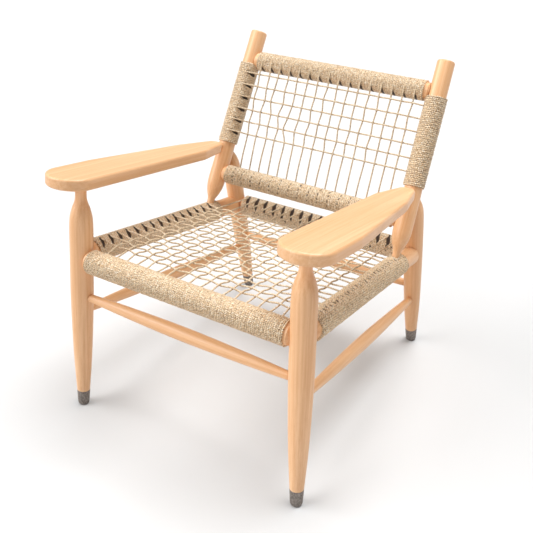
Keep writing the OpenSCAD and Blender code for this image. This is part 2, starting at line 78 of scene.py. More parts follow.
def rearAxis(s, z):
    return Vector((s * rearFoot.x, rearFoot.y - z * math.tan(chair["rearLegForward"]), z))


railFront = frontAxis(1, chair["sideRailFrontZ"])
railRear = rearAxis(1, chair["sideRailRearZ"])
seatBack = Vector((0, railRear.y - railFront.y, railRear.z - railFront.z)).normalized()
seatUp = Vector((0, -seatBack.z, seatBack.y))


def railShare(y):
    return (y - railFront.y) / (railRear.y - railFront.y)


def sideAxis(s, y):
    p = railFront.lerp(railRear, railShare(y))
    return Vector((s * p.x, y, p.z))


postFoot = sideAxis(1, frontFoot.y + chair["postFoot"])
postUp = Vector((0, math.sin(chair["postLean"]), math.cos(chair["postLean"])))
postFront = Vector((0, -math.cos(chair["postLean"]), math.sin(chair["postLean"])))
postLen = (chair["postTopZ"] - postFoot.z) / math.cos(chair["postLean"])
topRailAt = postLen - chair["topRailDrop"]


def postAxis(s, t):
    return Vector((s * (postFoot.x - chair["postIn"] * t / postLen), postFoot.y, postFoot.z)) + t * postUp


# helpers
def smoothLine(points, n):
    pts = [Vector(p) for p in points]
    line = []
    for i in range(len(pts) - 1):
        a, b, c, d = pts[max(i - 1, 0)], pts[i], pts[i + 1], pts[min(i + 2, len(pts) - 1)]
        for k in range(n):
            t = k / n
            line.append(0.5 * (2 * b + (c - a) * t + (2 * a - 5 * b + 4 * c - d) * t * t
                               + (3 * b - a - 3 * c + d) * t ** 3))
    return line + [pts[-1]]


# local +Z runs along direction, local +X looks to the front
def standOn(origin, direction, front=Vector((0, -1, 0))):
    z = direction.normalized()
    y = z.cross(front).normalized()
    x = y.cross(z)
    return Matrix.Translation(origin) @ Matrix((x, y, z)).transposed().to_4x4()


def keepGrain(mesh, seed):  # the piece's own coordinates, kept for its wood figure, grain along +Z
    co = np.empty(len(mesh.vertices) * 3, np.float32)
    mesh.vertices.foreach_get("co", co)
    rnd = random.Random(seed)
    shift = np.array([rnd.uniform(-0.05, 0.05), rnd.uniform(-0.05, 0.05), rnd.uniform(-2, 2)], np.float32)
    grain = mesh.attributes.new("grain", "FLOAT_VECTOR", "POINT")
    grain.data.foreach_set("vector", (co.reshape(-1, 3) + shift).ravel())


def finishPiece(name, bm, place, material, nodes, seed=None):
    mesh = bpy.data.meshes.new(name)
    bm.to_mesh(mesh)
    bm.free()
    if seed is not None:
        keepGrain(mesh, seed)
    mesh.transform(place)
    return addPiece(name, mesh, material, nodes)


def addPiece(name, mesh, material, nodes):
    mesh.materials.append(material)
    piece = bpy.data.objects.new(name, mesh)
    bpy.context.scene.collection.objects.link(piece)
    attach(piece, "root")
    if nodes:
        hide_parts(*nodes)
    return piece


def turnedShape(profile, steps=64):  # profile gives height and radius from the lower end to the upper
    bm = bmesh.new()
    rim = [bm.verts.new((max(p[1], 0), 0, p[0])) for p in profile]
    edges = [bm.edges.new(pair) for pair in zip(rim, rim[1:])]
    bmesh.ops.spin(bm, geom=rim + edges, cent=(0, 0, 0), axis=(0, 0, 1), angle=2 * math.pi,
                   steps=steps, use_merge=True)
    bmesh.ops.remove_doubles(bm, verts=bm.verts, dist=1e-6)
    bmesh.ops.recalc_face_normals(bm, faces=bm.faces)
    for f in bm.faces:
        f.smooth = True
    return bm


# materials
def link(tree, a, b):
    tree.links.new(a, b)


def newGroup(name, inputs, outputs):
    group = bpy.data.node_groups.new(name, "ShaderNodeTree")
    for label, kind, value in inputs:
        socket = group.interface.new_socket(name=label, in_out="INPUT", socket_type=kind)
        if value is not None:
            socket.default_value = value
    for label, kind in outputs:
        group.interface.new_socket(name=label, in_out="OUTPUT", socket_type=kind)
    return group, group.nodes.new("NodeGroupInput"), group.nodes.new("NodeGroupOutput")


def mathNode(tree, operation, a, b=None, c=None):
    node = tree.nodes.new("ShaderNodeMath")
    node.operation = operation
    for socket, value in zip(node.inputs, (a, b, c)):
        if value is None:
            continue
        if isinstance(value, (int, float)):
            socket.default_value = value
        else:
            link(tree, value, socket)
    return node.outputs[0]


def mapRange(tree, value, low, high, toLow=0.0, toHigh=1.0):
    node = tree.nodes.new("ShaderNodeMapRange")
    node.inputs["From Min"].default_value = low
    node.inputs["From Max"].default_value = high
    node.inputs["To Min"].default_value = toLow
    node.inputs["To Max"].default_value = toHigh
    link(tree, value, node.inputs["Value"])
    return node.outputs["Result"]


def noiseNode(tree, vector, scale, detail=3.0, roughness=0.5, distortion=0.0):
    node = tree.nodes.new("ShaderNodeTexNoise")
    node.inputs["Scale"].default_value = scale
    node.inputs["Detail"].default_value = detail
    node.inputs["Roughness"].default_value = roughness
    node.inputs["Distortion"].default_value = distortion
    link(tree, vector, node.inputs["Vector"])
    return node.outputs["Fac"]


def stretch(tree, vector, scale, rotation=(0, 0, 0)):
    node = tree.nodes.new("ShaderNodeMapping")
    node.inputs["Scale"].default_value = scale
    node.inputs["Rotation"].default_value = rotation
    link(tree, vector, node.inputs["Vector"])
    return node.outputs["Vector"]


def mixColor(tree, factor, a, b, mode="MIX"):
    node = tree.nodes.new("ShaderNodeMix")
    node.data_type = "RGBA"
    node.blend_type = mode
    for socket, value in ((node.inputs[0], factor), (node.inputs[6], a), (node.inputs[7], b)):
        if isinstance(value, (int, float, tuple)):
            socket.default_value = value
        else:
            link(tree, value, socket)
    return node.outputs[2]


def newMaterial(name, roughness, specular=0.5):
    material = bpy.data.materials.new(name)
    material.use_nodes = True
    tree = material.node_tree
    tree.nodes.clear()
    out = tree.nodes.new("ShaderNodeOutputMaterial")
    shader = tree.nodes.new("ShaderNodeBsdfPrincipled")
    shader.inputs["Roughness"].default_value = roughness
    shader.inputs["Specular IOR Level"].default_value = specular
    link(tree, shader.outputs[0], out.inputs["Surface"])
    return material, tree, shader


def bumpTo(tree, shader, height, distance, strength=1.0):
    bump = tree.nodes.new("ShaderNodeBump")
    bump.inputs["Strength"].default_value = strength
    bump.inputs["Distance"].default_value = distance
    link(tree, height, bump.inputs["Height"])
    link(tree, bump.outputs["Normal"], shader.inputs["Normal"])


woodLook = {
    "light": (0.95, 0.60, 0.34, 1),
    "mid": (0.77, 0.41, 0.185, 1),
    "dark": (0.63, 0.31, 0.135, 1),
    "ringScale": 8.8,           # about 28 rings to the metre
    "ringFlow": (1, 0.8, 0.10),
    "wander": (9, 9, 2.2),      # broad changes of tone
    "streak": (160, 160, 2.5),
    "fibre": (950, 950, 14),
    "fleck": (700, 1300, 90),
    "fleckDepth": 0.34,
    "figure": 0.3,
    "roughness": 0.42,
    "relief": 0.00012,
    "oil": 0.35,                # oiled and rubbed smooth
    "oilRoughness": 0.32,
}


def woodFigureGroup():  # vector in metres with the grain along Z
    group, inp, out = newGroup(
        "woodFigure",
        [("Vector", "NodeSocketVector", None), ("Light", "NodeSocketColor", woodLook["light"]),
         ("Mid", "NodeSocketColor", woodLook["mid"]), ("Dark", "NodeSocketColor", woodLook["dark"]),
         ("Figure", "NodeSocketFloat", woodLook["figure"])],
        [("Color", "NodeSocketColor"), ("Height", "NodeSocketFloat"), ("Roughness", "NodeSocketFloat")])
    vector = inp.outputs["Vector"]
    wander = noiseNode(group, stretch(group, vector, woodLook["wander"]), 1.0, 2.0)
    wave = group.nodes.new("ShaderNodeTexWave")
    wave.wave_type = "BANDS"
    wave.bands_direction = "X"
    wave.wave_profile = "SAW"
    wave.inputs["Scale"].default_value = woodLook["ringScale"]
    wave.inputs["Distortion"].default_value = 5.0
    wave.inputs["Detail"].default_value = 2.0
    wave.inputs["Detail Scale"].default_value = 0.55
    wave.inputs["Detail Roughness"].default_value = 0.45
    link(group, stretch(group, vector, woodLook["ringFlow"]), wave.inputs["Vector"])
    rings = wave.outputs["Fac"]
    fibre = noiseNode(group, stretch(group, vector, woodLook["fibre"]), 1.0, 3.0, 0.6)
    streak = noiseNode(group, stretch(group, vector, woodLook["streak"]), 1.0, 3.0, 0.55)
    spots = noiseNode(group, stretch(group, vector, woodLook["fleck"]), 1.0, 1.0)
    fleck = mapRange(group, spots, 0.66, 0.74)
    ringPart = mathNode(group, "MULTIPLY", mathNode(group, "POWER", rings, 1.6), inp.outputs["Figure"])
    tone = mathNode(group, "ADD", mathNode(group, "MULTIPLY", mapRange(group, streak, 0.36, 0.66), 0.62),
                    mathNode(group, "MULTIPLY", mapRange(group, wander, 0.3, 0.7), 0.35))
    tone = mathNode(group, "ADD", tone, mathNode(group, "MULTIPLY", mapRange(group, fibre, 0.4, 0.66), 0.3))
    base = mixColor(group, tone, inp.outputs["Light"], inp.outputs["Mid"])
    ringed = mixColor(group, ringPart, base, inp.outputs["Mid"])
    flecked = mathNode(group, "MULTIPLY", fleck, woodLook["fleckDepth"])
    dashed = mixColor(group, flecked, ringed, inp.outputs["Dark"])
    link(group, dashed, out.inputs["Color"])
    height = mathNode(group, "SUBTRACT", mathNode(group, "MULTIPLY", fibre, 0.5),
                      mathNode(group, "MULTIPLY", fleck, 0.5))
    link(group, height, out.inputs["Height"])
    link(group, mapRange(group, fibre, 0.3, 0.8, woodLook["roughness"] - 0.05, woodLook["roughness"] + 0.1),
         out.inputs["Roughness"])
    return group


woodFigure = woodFigureGroup()


def woodMaterial(name, rotation=None, light=None, mid=None, figure=None, shift=(0, 0, 0)):
    material, tree, shader = newMaterial(name, woodLook["roughness"], 0.45)
    group = tree.nodes.new("ShaderNodeGroup")
    group.node_tree = woodFigure
    if rotation is None:
        source = tree.nodes.new("ShaderNodeAttribute")
        source.attribute_name = "grain"
        link(tree, source.outputs["Vector"], group.inputs["Vector"])
    else:  # a CAD piece: its grain is turned onto Z from Object coordinates
        source = tree.nodes.new("ShaderNodeTexCoord")
        turned = tree.nodes.new("ShaderNodeMapping")
        turned.inputs["Rotation"].default_value = rotation
        turned.inputs["Location"].default_value = shift
        link(tree, source.outputs["Object"], turned.inputs["Vector"])
        link(tree, turned.outputs["Vector"], group.inputs["Vector"])
    if light:
        group.inputs["Light"].default_value = light
    if mid:
        group.inputs["Mid"].default_value = mid
    if figure:
        group.inputs["Figure"].default_value = figure
    link(tree, group.outputs["Color"], shader.inputs["Base Color"])
    link(tree, group.outputs["Roughness"], shader.inputs["Roughness"])
    bumpTo(tree, shader, group.outputs["Height"], woodLook["relief"], 0.5)
    shader.inputs["Coat Weight"].default_value = woodLook["oil"]
    shader.inputs["Coat Roughness"].default_value = woodLook["oilRoughness"]
    return material


cordLook = {
    "light": (1.0, 0.86, 0.61, 1),
    "mid": (0.82, 0.54, 0.29, 1),
    # painted shade: the dark painted into the grooves between strands and the valleys between turns; the
    # small dark specks take it too
    "grooveShade": (0.20, 0.09, 0.032, 1),
    "glint": (1.0, 0.93, 0.78, 1),
    # painted shade: the near-black painted into the slits where the weave's cords leave a wrap
    "slit": (0.04, 0.018, 0.007, 1),
    "roughness": 0.52,
    "relief": 0.0009,
}


def twistedCordGroup():  # U in metres along the cord, V in turns around it
    group, inp, out = newGroup(
        "twistedCord",
        [("U", "NodeSocketFloat", None), ("V", "NodeSocketFloat", None),
         ("Turns per metre", "NodeSocketFloat", 0.0), ("Strands", "NodeSocketFloat", 3.0),
         ("Valley shade", "NodeSocketFloat", 0.0), ("Slit shade", "NodeSocketFloat", 0.0),
         ("Light", "NodeSocketColor", cordLook["light"]), ("Mid", "NodeSocketColor", cordLook["mid"]),
         ("Dark", "NodeSocketColor", cordLook["grooveShade"])],
        [("Color", "NodeSocketColor"), ("Height", "NodeSocketFloat")])
    u, v = inp.outputs["U"], inp.outputs["V"]
    twist = mathNode(group, "MULTIPLY_ADD", u, inp.outputs["Turns per metre"], v)
    phase = mathNode(group, "MULTIPLY", twist, inp.outputs["Strands"])
    ridge = mathNode(group, "SINE", mathNode(group, "MULTIPLY", phase, math.pi))
    ridge = mathNode(group, "POWER", mathNode(group, "ABSOLUTE", ridge), 0.6)
    place = group.nodes.new("ShaderNodeCombineXYZ")
    link(group, u, place.inputs["X"])
    link(group, phase, place.inputs["Y"])
    fibre = noiseNode(group, stretch(group, place.outputs[0], (420, 7, 1)), 1.0, 2.0, 0.6)
    blotch = noiseNode(group, stretch(group, place.outputs[0], (38, 0.5, 1)), 1.0, 2.0)
    tone = mathNode(group, "ADD", mathNode(group, "MULTIPLY", mapRange(group, fibre, 0.38, 0.64), 0.6),
                    mathNode(group, "MULTIPLY", mapRange(group, blotch, 0.3, 0.7), 0.5))
    face = mixColor(group, tone, inp.outputs["Light"], inp.outputs["Mid"])
    # painted shade in the grooves of the twist, darkest where the strands meet
    grooveShade = mapRange(group, ridge, 0.15, 0.75, 1.0, 0.0)
    grooved = mixColor(group, mathNode(group, "MULTIPLY", grooveShade, 0.72), face, inp.outputs["Dark"])
    # painted shade in the valleys between turns: darker along the edges of one turn, at V 0 and 0.5
    edge = mathNode(group, "SUBTRACT", mathNode(group, "MULTIPLY", v, 4.0), 1.0)
    edge = mapRange(group, mathNode(group, "ABSOLUTE", edge), 0.55, 1.0)
    edge = mathNode(group, "MULTIPLY", edge, inp.outputs["Valley shade"])
    grooved = mixColor(group, edge, grooved, inp.outputs["Dark"])
    speck = noiseNode(group, stretch(group, place.outputs[0], (360, 1.3, 1)), 1.0, 1.0)
    grooved = mixColor(group, mapRange(group, speck, 0.54, 0.62, 0.0, 0.72), grooved, inp.outputs["Dark"])
    glint = noiseNode(group, stretch(group, place.outputs[0], (300, 1.1, 3)), 1.0, 1.0)
    grooved = mixColor(group, mapRange(group, glint, 0.56, 0.64, 0.0, 0.7), grooved, cordLook["glint"])
    # painted shade: the slits are painted near-black where the wraps' vertex attribute marks them
    slitShaded = mixColor(group, mapRange(group, inp.outputs["Slit shade"], 0.25, 0.7), grooved, cordLook["slit"])
    link(group, slitShaded, out.inputs["Color"])
    link(group, mathNode(group, "MULTIPLY_ADD", fibre, 0.25, ridge), out.inputs["Height"])
    return group


twistedCord = twistedCordGroup()


def cordMaterial(name, turns, strands, valleyShade, light=None, mid=None, dark=None):
    material, tree, shader = newMaterial(name, cordLook["roughness"], 0.55)
    group = tree.nodes.new("ShaderNodeGroup")
    group.node_tree = twistedCord
    group.inputs["Turns per metre"].default_value = turns
    group.inputs["Strands"].default_value = strands
    group.inputs["Valley shade"].default_value = valleyShade
    if light:
        group.inputs["Light"].default_value = light
    if mid:
        group.inputs["Mid"].default_value = mid
    if dark:
        group.inputs["Dark"].default_value = dark
    uv = tree.nodes.new("ShaderNodeUVMap")
    uv.uv_map = "along"
    split = tree.nodes.new("ShaderNodeSeparateXYZ")
    link(tree, uv.outputs["UV"], split.inputs[0])
    link(tree, split.outputs["X"], group.inputs["U"])
    link(tree, split.outputs["Y"], group.inputs["V"])
    # the painted shade of the slits, read from the wraps' vertex attribute
    slitShade = tree.nodes.new("ShaderNodeAttribute")
    slitShade.attribute_name = "slitShade"
    link(tree, slitShade.outputs["Fac"], group.inputs["Slit shade"])
    link(tree, group.outputs["Color"], shader.inputs["Base Color"])
    bumpTo(tree, shader, group.outputs["Height"], cordLook["relief"])
    return material


metalLook = {
    "light": (0.36, 0.325, 0.295, 1),
    "dark": (0.165, 0.145, 0.13, 1),
    "roughness": 0.5,
    "metallic": 0.6,
    "mottle": (260, 260, 170),
    "scratch": (300, 300, 2600),
    "relief": 0.00015,
}


def metalMaterial(name, light, dark, roughness):
    material, tree, shader = newMaterial(name, roughness)
    shader.inputs["Metallic"].default_value = metalLook["metallic"]
    source = tree.nodes.new("ShaderNodeTexCoord")
    place = source.outputs["Object"]
    mottle = noiseNode(tree, stretch(tree, place, metalLook["mottle"]), 1.0, 5.0, 0.65)
    scratch = noiseNode(tree, stretch(tree, place, metalLook["scratch"]), 1.0, 2.0)
    color = mixColor(tree, mapRange(tree, mottle, 0.35, 0.68), dark, light)
    link(tree, color, shader.inputs["Base Color"])
    rubbed = mapRange(tree, mottle, 0.3, 0.7, roughness + 0.14, roughness - 0.1)
    link(tree, rubbed, shader.inputs["Roughness"])
    bumpTo(tree, shader, mathNode(tree, "MULTIPLY_ADD", mottle, 0.7, scratch), metalLook["relief"], 0.4)
    return material


turnedWood = woodMaterial("turned wood")
armWood = woodMaterial("arm wood", light=(0.90, 0.575, 0.335, 1), mid=(0.75, 0.41, 0.19, 1), figure=0.6)
# the wraps: painted shade in the valleys between turns and in the grooves of the two-strand twist
wrapCord = cordMaterial("wrapped paper cord", turns=105.0, strands=2.0, valleyShade=0.75)
# the woven cords: lighter painted shade in their grooves, and none in the valleys
weaveCord = cordMaterial("woven paper cord", turns=0.0, strands=3.0, valleyShade=0.0,
                         light=(1.0, 0.87, 0.64, 1), mid=(0.84, 0.60, 0.35, 1), dark=(0.30, 0.15, 0.06, 1))
capMetal = metalMaterial("foot cap metal", metalLook["light"], metalLook["dark"], metalLook["roughness"])
tackMetal = metalMaterial("tack metal", (0.55, 0.55, 0.55, 1), (0.35, 0.35, 0.35, 1), 0.35)
print("materials ready")

# legs
footCap = {"height": 0.041, "rimR": 0.0154, "wall": 0.0012, "pegZ": 0.030, "pegR": 0.0138}
armLine = {
    "z": 0.599,
    "tilt": math.radians(10.2),
    "thick": 0.026,
    "innerX": 0.229,
    "wide": 0.112,
    "over": 0.005,
    "rearR": 0.021,
    "edgeR": 0.006,
    "reach": 0.545,
    "outerDiscs": ((0.046, 0.150, 0.046), (0.064, 0.436, 0.034)),     # in from the edge, along, radius
    "innerDisc": (0.032, 0.445),                                      # radius, along
}
frontLeg = {
    "length": ((armLine["z"] - (railFront.y - frontFoot.y) * math.tan(armLine["tilt"]) - 0.002)
               / math.cos(chair["frontLegBack"]) - armLine["thick"]),     # up to the arm's underside
    "neckR": 0.0122,
}
rearLeg = {"length": 0.470}


def legProfile(shape):  # a peg hidden in the cap, an ankle, then the leg's own shape
    peg = [(footCap["pegZ"], 0), (footCap["pegZ"], footCap["pegR"])]
    ankle = [(footCap["height"] - 0.0012, 0.01425, 0), (0.0435, 0.01535, 0)]
    return peg + smoothLine(ankle + shape, 8)


def frontLegProfile():
    r, n, top = chair["frontLegR"], frontLeg["neckR"], frontLeg["length"]
    shape = [(0.15, r * 0.835, 0), (0.285, r * 0.985, 0), (0.4, r, 0), (top - 0.088, r * 0.985, 0),
             (top - 0.058, r * 0.8, 0), (top - 0.036, n * 1.1, 0), (top - 0.015, n, 0), (top + 0.003, n, 0)]
    return legProfile(shape) + [(top + 0.003, 0)]


def rearLegProfile():
    r, top = chair["rearLegR"], rearLeg["length"]
    shape = [(0.125, r * 0.85, 0), (0.225, r * 0.955, 0), (0.33, r, 0), (top - 0.06, r * 0.985, 0),
             (top - 0.032, r * 0.86, 0), (top - 0.012, r * 0.55, 0), (top - 0.003, r * 0.25, 0)]
    return legProfile(shape) + [(top, 0)]


def footCapProfile():
    r, top, inner = footCap["rimR"], footCap["height"], footCap["rimR"] - footCap["wall"]
    outer = smoothLine([(-0.0034, r * 0.3, 0), (-0.0013, r * 0.6, 0), (0.0022, r * 0.78, 0),
                        (0.008, r * 0.88, 0), (top - 0.0006, r * 0.998, 0)], 6)
    return outer + [(top, r * 0.985), (top, inner), (footCap["pegZ"], inner - 0.0004)]


def footCapShape(lean):  # turned about the leg's axis, then cut level with the floor
    bm = turnedShape([(-0.0034, 0)] + footCapProfile())
    bmesh.ops.bisect_plane(bm, geom=bm.verts[:] + bm.edges[:] + bm.faces[:], dist=1e-6,
                           plane_co=(0, 0, 0), plane_no=lean, clear_inner=True)
    rim = [e for e in bm.edges if e.is_boundary and max(v.co.z for v in e.verts) < 0.01]
    bmesh.ops.holes_fill(bm, edges=rim, sides=0)
    bmesh.ops.recalc_face_normals(bm, faces=bm.faces)
    return bm


seed = 11
for word, s in (("left", -1), ("right", 1)):
    for where, axis, profile in (("front", frontAxis, frontLegProfile()),
                                 ("rear", rearAxis, rearLegProfile())):
        place = standOn(axis(s, 0), axis(s, 0.5) - axis(s, 0))
        seed += 1
        finishPiece(f"{where}_leg_{word}_turned", turnedShape(profile), place, turnedWood,
                    [f"{where}_leg_{word}"], seed)
        floorNormal = place.to_3x3().inverted() @ Vector((0, 0, 1))
        cap = footCapShape(floorNormal)
        finishPiece(f"{where}_foot_cap_{word}_metal", cap, place, capMetal,
                    [f"{where}_foot_cap_{word}"])
print("legs and caps made")

# stretchers
stretcher = {"midR": 0.0155, "endR": 0.009, "tenon": 0.014, "frontZ": 0.298, "sideFrontZ": 0.256,
             "sideRearZ": 0.147, "rearZ": 0.190}


def stretcherPiece(name, a, b, wallA, wallB, number):
    length, r, e, t = (b - a).length, stretcher["midR"], stretcher["endR"], stretcher["tenon"]
    span = length - wallA - wallB
    waist = e + (r - e) * 0.62
    far = length - wallB
    line = smoothLine([(wallA + 0.004, e, 0), (wallA + 0.012, e + 0.0005, 0), (wallA + span * 0.22, waist, 0),
                       (length / 2, r, 0), (wallA + span * 0.78, waist, 0), (far - 0.012, e + 0.0005, 0),
                       (far - 0.004, e, 0)], 12)
    bm = turnedShape([(wallA - t, 0), (wallA - t, e)] + line + [(far + t, e), (far + t, 0)], 48)
    finishPiece(name + "_turned", bm, standOn(a, b - a), turnedWood, [name], number)


frontR, rearR = chair["frontLegR"], chair["rearLegR"]
stretcherPiece("front_stretcher", frontAxis(-1, stretcher["frontZ"]), frontAxis(1, stretcher["frontZ"]),
               frontR, frontR, 31)
stretcherPiece("rear_stretcher", rearAxis(-1, stretcher["rearZ"]), rearAxis(1, stretcher["rearZ"]),
               rearR, rearR, 32)
for word, s in (("left", -1), ("right", 1)):
    stretcherPiece(f"side_stretcher_{word}", frontAxis(s, stretcher["sideFrontZ"]),
                   rearAxis(s, stretcher["sideRearZ"]), frontR, rearR, 34 + s)
print("stretchers made")

# back posts
post = {"neckR": 0.0088, "swell": 1.06, "wrapAboveRail": 0.061, "wrapBelowTop": 0.012}
wrapLow = chair["lowRailAt"] + chair["backRailR"] + post["wrapAboveRail"]
wrapHigh = topRailAt - post["wrapBelowTop"]


def postProfile():
    r, n, foot = chair["postR"], post["neckR"], chair["seatRailR"]
    low = smoothLine([(foot + 0.004, n, 0), (foot + 0.017, n * 1.12, 0), (foot + 0.034, r * 0.78, 0),
                      (foot + 0.054, r * 1.01, 0), (foot + 0.078, r * post["swell"], 0),
                      (wrapLow - 0.03, r * 1.03, 0), (wrapLow, r, 0)], 8)
    crown = smoothLine([(postLen - 0.005, r - 0.0004, 0), (postLen - 0.0022, r - 0.0012, 0),
                        (postLen - 0.0007, r - 0.003, 0), (postLen, r - 0.006, 0)], 5)
    return [(-0.002, 0), (-0.002, n)] + low + [(wrapHigh, r)] + crown + [(postLen, 0)]


for word, s in (("left", -1), ("right", 1)):
    finishPiece(f"back_post_{word}_turned", turnedShape(postProfile()),
                standOn(postAxis(s, 0), postAxis(s, postLen) - postAxis(s, 0)), turnedWood,
                [f"back_post_{word}"], 41 + s)
print("posts made")


# arms: five discs drawn round into one board, its edges rolled over
def armShape():
    w, inner, over = armLine["wide"], armLine["innerX"], armLine["over"]
    along = armLine["reach"] / math.cos(armLine["tilt"])
    nose = (inner + w / 2, w / 2 - over, w / 2)
    outside = [(inner + w - inset, y, r) for inset, y, r in armLine["outerDiscs"]]
    innerR, innerAlong = armLine["innerDisc"]
    tail = (postFoot.x - 0.001, along - armLine["rearR"], armLine["rearR"])
    bm = bmesh.new()
    for x, y, r in [nose] + outside + [(inner + innerR, innerAlong, innerR), tail]:
        place = Matrix.Translation((x, y, -armLine["thick"] / 2))
        bmesh.ops.create_cone(bm, cap_ends=True, segments=96, radius1=r, radius2=r, depth=armLine["thick"],
                              matrix=place)
    hull = bmesh.ops.convex_hull(bm, input=bm.verts)
    spare = {g for key in ("geom_interior", "geom_unused") for g in hull[key]
             if isinstance(g, bmesh.types.BMVert)}
    bmesh.ops.delete(bm, geom=list(spare), context="VERTS")
    bmesh.ops.remove_doubles(bm, verts=bm.verts, dist=1e-5)
    bmesh.ops.dissolve_limit(bm, angle_limit=0.002, verts=bm.verts, edges=bm.edges)
    bm.normal_update()
    rims = [e for e in bm.edges if len(e.link_faces) == 2
            and any(abs(f.normal.z) > 0.9 for f in e.link_faces)
            and any(abs(f.normal.z) < 0.1 for f in e.link_faces)]
    bmesh.ops.bevel(bm, geom=rims, offset=armLine["edgeR"], offset_type="OFFSET", segments=6, profile=0.5,
                    affect="EDGES", material=-1)
    bmesh.ops.recalc_face_normals(bm, faces=bm.faces)
    for f in bm.faces:
        f.smooth = True
    return bm


def flatFacesFirst(piece):  # broad flat faces keep their own normals, so the rolled edges shade cleanly
    weighted = piece.modifiers.new("weighted normals", "WEIGHTED_NORMAL")
    weighted.keep_sharp = True


for word, s in (("left", -1), ("right", 1)):
    bm = armShape()
    mesh = bpy.data.meshes.new(f"armrest_{word}_board")
    bm.to_mesh(mesh)
    bm.free()
    mesh.transform(Matrix.Rotation(math.radians(-90), 4, "X"))      # grain runs down the arm's length
    keepGrain(mesh, 50 + s)
    mesh.transform(Matrix.Rotation(math.radians(90), 4, "X"))
    tilted = Matrix.Translation((0, frontFoot.y, armLine["z"])) @ Matrix.Rotation(-armLine["tilt"], 4, "X")
    if s < 0:
        tilted = Matrix.Scale(-1, 4, (1, 0, 0)) @ tilted
    mesh.transform(tilted)
    if s < 0:
        mesh.flip_normals()
    arm = addPiece(f"armrest_{word}_board", mesh, armWood, [f"armrest_{word}"])
    flatFacesFirst(arm)
print("arms made")

# wraps: every turn of cord is wound on, then parted where the weave's cords leave
wrap = {
    "pitch": 0.0044,
    "steps": 48,
    "crest": 0.0021,            # from a turn's crown down to the valley beside it
    "thick": 2 * chair["cordR"],
    "proud": 0.0006,            # the most that a turn swells out
    "drawnIn": 0.0012,          # the most that the swelling draws a turn in
    "lip": 0.0007,              # the slit's soft edge
    "postClear": 0.032,         # bare rail in front of the post
    "pushed": 0.006,            # how far from a slit the turns are still pushed aside
    "sway": 0.00065,            # how far the turns wander along the rail, and dip into it
    "ripple": 0.0004,
    "dip": 0.0003,
}


def woundCord(name, a, b, r, partings, spacing, front, slitShade):
    length = (b - a).length
    turns = math.ceil(length / wrap["pitch"]) + 3
    pitch, steps = wrap["pitch"], wrap["steps"]
    outer = r + wrap["thick"]
    print(name, "metres of cord:", round(length / pitch * 2 * math.pi * (r + wrap["thick"] / 2), 1))
    bm = bmesh.new()
    line = []
    for k in range(4 * turns + 1):
        lift = abs(math.sin(math.pi * k / 4)) ** 0.8
        line.append(bm.verts.new((outer - wrap["crest"] * (1 - lift), 0, pitch * (k / 4 - 2))))
    edges = [bm.edges.new(pair) for pair in zip(line, line[1:])]
    bmesh.ops.spin(bm, geom=line + edges, cent=(0, 0, 0), axis=(0, 0, 1), dvec=(0, 0, pitch / steps),
                   angle=2 * math.pi, steps=steps)     # once round lifts the whole line by one turn
    bmesh.ops.remove_doubles(bm, verts=bm.verts, dist=1e-5)
    for z, side in ((0, True), (length, False)):
        bmesh.ops.bisect_plane(bm, geom=bm.verts[:] + bm.edges[:] + bm.faces[:], dist=1e-5,
                               plane_co=(0, 0, z), plane_no=(0, 0, 1), clear_inner=side,
                               clear_outer=not side)
        rim = [e for e in bm.edges if e.is_boundary and all(abs(v.co.z - z) < 1e-4 for v in e.verts)]
        lip = bmesh.ops.extrude_edge_only(bm, edges=rim)
        for v in [g for g in lip["geom"] if isinstance(g, bmesh.types.BMVert)]:
            v.co = Vector((v.co.x, v.co.y, 0)).normalized() * (r + 0.0001) + Vector((0, 0, z))
    bmesh.ops.recalc_face_normals(bm, faces=bm.faces)
    for f in bm.faces:
        f.smooth = True
    mesh = bpy.data.meshes.new(name)
    bm.to_mesh(mesh)
    bm.free()
    followCord(mesh, outer)
    partTurns(mesh, partings, spacing, outer, length, slitShade)
    mesh.transform(standOn(a, b - a, front))
    return mesh


def followCord(mesh, outer):  # U runs along the cord in metres, V from 0 to 0.5 across one turn
    count = len(mesh.loops)
    co = np.empty(len(mesh.vertices) * 3)
    mesh.vertices.foreach_get("co", co)
    co = co.reshape(-1, 3)
    corner = np.empty(count, np.int64)
    mesh.loops.foreach_get("vertex_index", corner)
    start = np.empty(len(mesh.polygons), np.int64)
    size = np.empty(len(mesh.polygons), np.int64)
    mesh.polygons.foreach_get("loop_start", start)
    mesh.polygons.foreach_get("loop_total", size)
    owner = np.repeat(np.arange(len(mesh.polygons)), size)
    angle = np.arctan2(co[:, 1], co[:, 0]) / (2 * math.pi)
    middle = np.add.reduceat(co[corner], start) / size[:, None]
    midAngle = np.arctan2(middle[:, 1], middle[:, 0]) / (2 * math.pi)
    turn = angle[corner] - midAngle[owner]
    turn = midAngle[owner] + turn - np.round(turn)
    midLine = middle[:, 2] / wrap["pitch"] - midAngle
    whole = np.floor(midLine)[owner]
    across = co[corner, 2] / wrap["pitch"] - turn - whole
    along = (whole + turn) * 2 * math.pi * outer
    uv = mesh.uv_layers.new(name="along")
    uv.data.foreach_set("uv", np.stack([along, across * 0.5], axis=1).astype(np.float32).ravel())


# one slit: where along the rail, from and to in degrees round it, its half width and its depth
def parting(at, start, end, gap, deep, slant=0.0, lean=0.7, swell=0.0):
    return {"at": at, "from": start, "to": end, "gap": gap, "deep": deep, "slant": slant, "lean": lean,
            "swell": swell}


